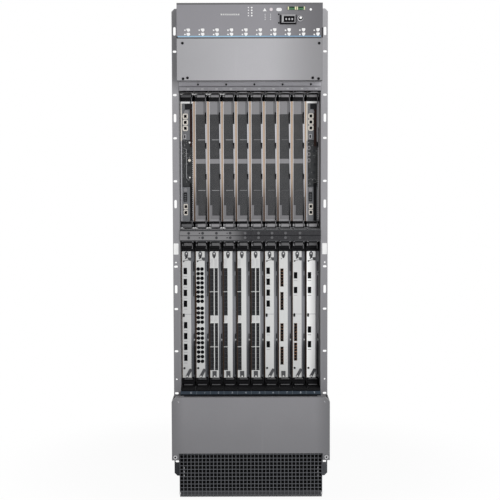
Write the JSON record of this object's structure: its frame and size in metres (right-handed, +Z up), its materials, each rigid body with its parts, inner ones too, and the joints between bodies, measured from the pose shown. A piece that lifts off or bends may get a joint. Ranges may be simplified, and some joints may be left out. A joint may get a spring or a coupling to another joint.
{
  "type": "ethernet router",
  "caption": "Full-height modular ethernet router chassis for a rack, with upper and lower rows of plug-in cards, ejector levers, a status panel and a mesh air intake.",
  "frame": {"origin": "under the middle of the overall box, on the floor", "axes": "+Z up, front faces -Y, +X to the right of someone facing the front"},
  "size_m": [0.484, 0.9384, 1.5113],
  "materials": {
    "case_paint": "dark grey textured paint",
    "front_paint": "satin mid grey paint",
    "rail_paint": "dark grey paint",
    "card_frame": "plated steel",
    "card_plate": "pale satin aluminium",
    "lever_plastic": "black moulded plastic",
    "module_metal": "plated steel",
    "board": "green board"
  },
  "bodies": {
    "chassis": {"side_wall_left": "case_paint", "side_wall_right": "case_paint", "roof_panel": "case_paint", "base_pan": "case_paint", "rear_frame": "case_paint", "backplane": "board", "rack_flange_left": "front_paint", "rack_flange_right": "front_paint", "craft_panel": "front_paint", "power_cover": "front_paint", "upper_card_rail": "rail_paint", "mid_card_rail": "rail_paint", "lower_card_rail": "rail_paint", "lower_air_cover": "front_paint", "intake_grille": "front_paint", "power_modules": "module_metal"},
    "control_card_left": {"control_card_left": "card_frame"},
    "control_card_right": {"control_card_right": "card_frame"},
    "fabric_card_1": {"fabric_card_1": "card_frame"},
    "fabric_card_2": {"fabric_card_2": "card_frame"},
    "fabric_card_3": {"fabric_card_3": "card_frame"},
    "fabric_card_4": {"fabric_card_4": "card_frame"},
    "fabric_card_5": {"fabric_card_5": "card_frame"},
    "fabric_card_6": {"fabric_card_6": "card_frame"},
    "fabric_card_7": {"fabric_card_7": "card_frame"},
    "fabric_card_8": {"fabric_card_8": "card_frame"},
    "line_card_0": {"line_card_0": "card_plate"},
    "line_lever_upper_0": {"line_lever_upper_0": "lever_plastic"},
    "line_lever_lower_0": {"line_lever_lower_0": "lever_plastic"},
    "line_card_1": {"line_card_1": "card_plate"},
    "line_lever_upper_1": {"line_lever_upper_1": "lever_plastic"},
    "line_lever_lower_1": {"line_lever_lower_1": "lever_plastic"},
    "line_card_2": {"line_card_2": "card_plate"},
    "line_lever_upper_2": {"line_lever_upper_2": "lever_plastic"},
    "line_lever_lower_2": {"line_lever_lower_2": "lever_plastic"},
    "line_card_3": {"line_card_3": "card_plate"},
    "line_lever_upper_3": {"line_lever_upper_3": "lever_plastic"},
    "line_lever_lower_3": {"line_lever_lower_3": "lever_plastic"},
    "line_card_4": {"line_card_4": "card_plate"},
    "line_lever_upper_4": {"line_lever_upper_4": "lever_plastic"},
    "line_lever_lower_4": {"line_lever_lower_4": "lever_plastic"},
    "line_card_5": {"line_card_5": "card_plate"},
    "line_lever_upper_5": {"line_lever_upper_5": "lever_plastic"},
    "line_lever_lower_5": {"line_lever_lower_5": "lever_plastic"},
    "line_card_6": {"line_card_6": "card_plate"},
    "line_lever_upper_6": {"line_lever_upper_6": "lever_plastic"},
    "line_lever_lower_6": {"line_lever_lower_6": "lever_plastic"},
    "line_card_7": {"line_card_7": "card_plate"},
    "line_lever_upper_7": {"line_lever_upper_7": "lever_plastic"},
    "line_lever_lower_7": {"line_lever_lower_7": "lever_plastic"},
    "line_card_8": {"line_card_8": "card_plate"},
    "line_lever_upper_8": {"line_lever_upper_8": "lever_plastic"},
    "line_lever_lower_8": {"line_lever_lower_8": "lever_plastic"},
    "line_card_9": {"line_card_9": "card_plate"},
    "line_lever_upper_9": {"line_lever_upper_9": "lever_plastic"},
    "line_lever_lower_9": {"line_lever_lower_9": "lever_plastic"},
    "fan_tray_lower_left": {"fan_tray_lower_left": "module_metal"},
    "fan_tray_lower_right": {"fan_tray_lower_right": "module_metal"},
    "fan_tray_upper_left": {"fan_tray_upper_left": "module_metal"},
    "fan_tray_upper_right": {"fan_tray_upper_right": "module_metal"}
  },
  "joints": [
    {"name": "control_card_left_slide", "type": "slide", "parent": "chassis", "child": "control_card_left", "axis": [0, -1, 0], "range_m": [0, 0.45]},
    {"name": "control_card_right_slide", "type": "slide", "parent": "chassis", "child": "control_card_right", "axis": [0, -1, 0], "range_m": [0, 0.45]},
    {"name": "fabric_card_1_slide", "type": "slide", "parent": "chassis", "child": "fabric_card_1", "axis": [0, -1, 0], "range_m": [0, 0.45]},
    {"name": "fabric_card_2_slide", "type": "slide", "parent": "chassis", "child": "fabric_card_2", "axis": [0, -1, 0], "range_m": [0, 0.45]},
    {"name": "fabric_card_3_slide", "type": "slide", "parent": "chassis", "child": "fabric_card_3", "axis": [0, -1, 0], "range_m": [0, 0.45]},
    {"name": "fabric_card_4_slide", "type": "slide", "parent": "chassis", "child": "fabric_card_4", "axis": [0, -1, 0], "range_m": [0, 0.45]},
    {"name": "fabric_card_5_slide", "type": "slide", "parent": "chassis", "child": "fabric_card_5", "axis": [0, -1, 0], "range_m": [0, 0.45]},
    {"name": "fabric_card_6_slide", "type": "slide", "parent": "chassis", "child": "fabric_card_6", "axis": [0, -1, 0], "range_m": [0, 0.45]},
    {"name": "fabric_card_7_slide", "type": "slide", "parent": "chassis", "child": "fabric_card_7", "axis": [0, -1, 0], "range_m": [0, 0.45]},
    {"name": "fabric_card_8_slide", "type": "slide", "parent": "chassis", "child": "fabric_card_8", "axis": [0, -1, 0], "range_m": [0, 0.45]},
    {"name": "line_card_0_slide", "type": "slide", "parent": "chassis", "child": "line_card_0", "axis": [0, -1, 0], "range_m": [0, 0.45]},
    {"name": "line_lever_upper_0_hinge", "type": "hinge", "parent": "line_card_0", "child": "line_lever_upper_0", "pos_m": [-0.198, -0.27715, 0.7569], "axis": [1, 0, 0], "range_deg": [0, 70]},
    {"name": "line_lever_lower_0_hinge", "type": "hinge", "parent": "line_card_0", "child": "line_lever_lower_0", "pos_m": [-0.198, -0.27715, 0.3403], "axis": [-1, 0, 0], "range_deg": [0, 70]},
    {"name": "line_card_1_slide", "type": "slide", "parent": "chassis", "child": "line_card_1", "axis": [0, -1, 0], "range_m": [0, 0.45]},
    {"name": "line_lever_upper_1_hinge", "type": "hinge", "parent": "line_card_1", "child": "line_lever_upper_1", "pos_m": [-0.154, -0.27715, 0.7569], "axis": [1, 0, 0], "range_deg": [0, 70]},
    {"name": "line_lever_lower_1_hinge", "type": "hinge", "parent": "line_card_1", "child": "line_lever_lower_1", "pos_m": [-0.154, -0.27715, 0.3403], "axis": [-1, 0, 0], "range_deg": [0, 70]},
    {"name": "line_card_2_slide", "type": "slide", "parent": "chassis", "child": "line_card_2", "axis": [0, -1, 0], "range_m": [0, 0.45]},
    {"name": "line_lever_upper_2_hinge", "type": "hinge", "parent": "line_card_2", "child": "line_lever_upper_2", "pos_m": [-0.11, -0.27715, 0.7569], "axis": [1, 0, 0], "range_deg": [0, 70]},
    {"name": "line_lever_lower_2_hinge", "type": "hinge", "parent": "line_card_2", "child": "line_lever_lower_2", "pos_m": [-0.11, -0.27715, 0.3403], "axis": [-1, 0, 0], "range_deg": [0, 70]},
    {"name": "line_card_3_slide", "type": "slide", "parent": "chassis", "child": "line_card_3", "axis": [0, -1, 0], "range_m": [0, 0.45]},
    {"name": "line_lever_upper_3_hinge", "type": "hinge", "parent": "line_card_3", "child": "line_lever_upper_3", "pos_m": [-0.066, -0.27715, 0.7569], "axis": [1, 0, 0], "range_deg": [0, 70]},
    {"name": "line_lever_lower_3_hinge", "type": "hinge", "parent": "line_card_3", "child": "line_lever_lower_3", "pos_m": [-0.066, -0.27715, 0.3403], "axis": [-1, 0, 0], "range_deg": [0, 70]},
    {"name": "line_card_4_slide", "type": "slide", "parent": "chassis", "child": "line_card_4", "axis": [0, -1, 0], "range_m": [0, 0.45]},
    {"name": "line_lever_upper_4_hinge", "type": "hinge", "parent": "line_card_4", "child": "line_lever_upper_4", "pos_m": [-0.022, -0.27715, 0.7569], "axis": [1, 0, 0], "range_deg": [0, 70]},
    {"name": "line_lever_lower_4_hinge", "type": "hinge", "parent": "line_card_4", "child": "line_lever_lower_4", "pos_m": [-0.022, -0.27715, 0.3403], "axis": [-1, 0, 0], "range_deg": [0, 70]},
    {"name": "line_card_5_slide", "type": "slide", "parent": "chassis", "child": "line_card_5", "axis": [0, -1, 0], "range_m": [0, 0.45]},
    {"name": "line_lever_upper_5_hinge", "type": "hinge", "parent": "line_card_5", "child": "line_lever_upper_5", "pos_m": [0.022, -0.27715, 0.7569], "axis": [1, 0, 0], "range_deg": [0, 70]},
    {"name": "line_lever_lower_5_hinge", "type": "hinge", "parent": "line_card_5", "child": "line_lever_lower_5", "pos_m": [0.022, -0.27715, 0.3403], "axis": [-1, 0, 0], "range_deg": [0, 70]},
    {"name": "line_card_6_slide", "type": "slide", "parent": "chassis", "child": "line_card_6", "axis": [0, -1, 0], "range_m": [0, 0.45]},
    {"name": "line_lever_upper_6_hinge", "type": "hinge", "parent": "line_card_6", "child": "line_lever_upper_6", "pos_m": [0.066, -0.27715, 0.7569], "axis": [1, 0, 0], "range_deg": [0, 70]},
    {"name": "line_lever_lower_6_hinge", "type": "hinge", "parent": "line_card_6", "child": "line_lever_lower_6", "pos_m": [0.066, -0.27715, 0.3403], "axis": [-1, 0, 0], "range_deg": [0, 70]},
    {"name": "line_card_7_slide", "type": "slide", "parent": "chassis", "child": "line_card_7", "axis": [0, -1, 0], "range_m": [0, 0.45]},
    {"name": "line_lever_upper_7_hinge", "type": "hinge", "parent": "line_card_7", "child": "line_lever_upper_7", "pos_m": [0.11, -0.27715, 0.7569], "axis": [1, 0, 0], "range_deg": [0, 70]},
    {"name": "line_lever_lower_7_hinge", "type": "hinge", "parent": "line_card_7", "child": "line_lever_lower_7", "pos_m": [0.11, -0.27715, 0.3403], "axis": [-1, 0, 0], "range_deg": [0, 70]},
    {"name": "line_card_8_slide", "type": "slide", "parent": "chassis", "child": "line_card_8", "axis": [0, -1, 0], "range_m": [0, 0.45]},
    {"name": "line_lever_upper_8_hinge", "type": "hinge", "parent": "line_card_8", "child": "line_lever_upper_8", "pos_m": [0.154, -0.27715, 0.7569], "axis": [1, 0, 0], "range_deg": [0, 70]},
    {"name": "line_lever_lower_8_hinge", "type": "hinge", "parent": "line_card_8", "child": "line_lever_lower_8", "pos_m": [0.154, -0.27715, 0.3403], "axis": [-1, 0, 0], "range_deg": [0, 70]},
    {"name": "line_card_9_slide", "type": "slide", "parent": "chassis", "child": "line_card_9", "axis": [0, -1, 0], "range_m": [0, 0.45]},
    {"name": "line_lever_upper_9_hinge", "type": "hinge", "parent": "line_card_9", "child": "line_lever_upper_9", "pos_m": [0.198, -0.27715, 0.7569], "axis": [1, 0, 0], "range_deg": [0, 70]},
    {"name": "line_lever_lower_9_hinge", "type": "hinge", "parent": "line_card_9", "child": "line_lever_lower_9", "pos_m": [0.198, -0.27715, 0.3403], "axis": [-1, 0, 0], "range_deg": [0, 70]},
    {"name": "fan_tray_lower_left_slide", "type": "slide", "parent": "chassis", "child": "fan_tray_lower_left", "axis": [0, 1, 0], "range_m": [0, 0.14]},
    {"name": "fan_tray_lower_right_slide", "type": "slide", "parent": "chassis", "child": "fan_tray_lower_right", "axis": [0, 1, 0], "range_m": [0, 0.14]},
    {"name": "fan_tray_upper_left_slide", "type": "slide", "parent": "chassis", "child": "fan_tray_upper_left", "axis": [0, 1, 0], "range_m": [0, 0.14]},
    {"name": "fan_tray_upper_right_slide", "type": "slide", "parent": "chassis", "child": "fan_tray_upper_right", "axis": [0, 1, 0], "range_m": [0, 0.14]}
  ]
}
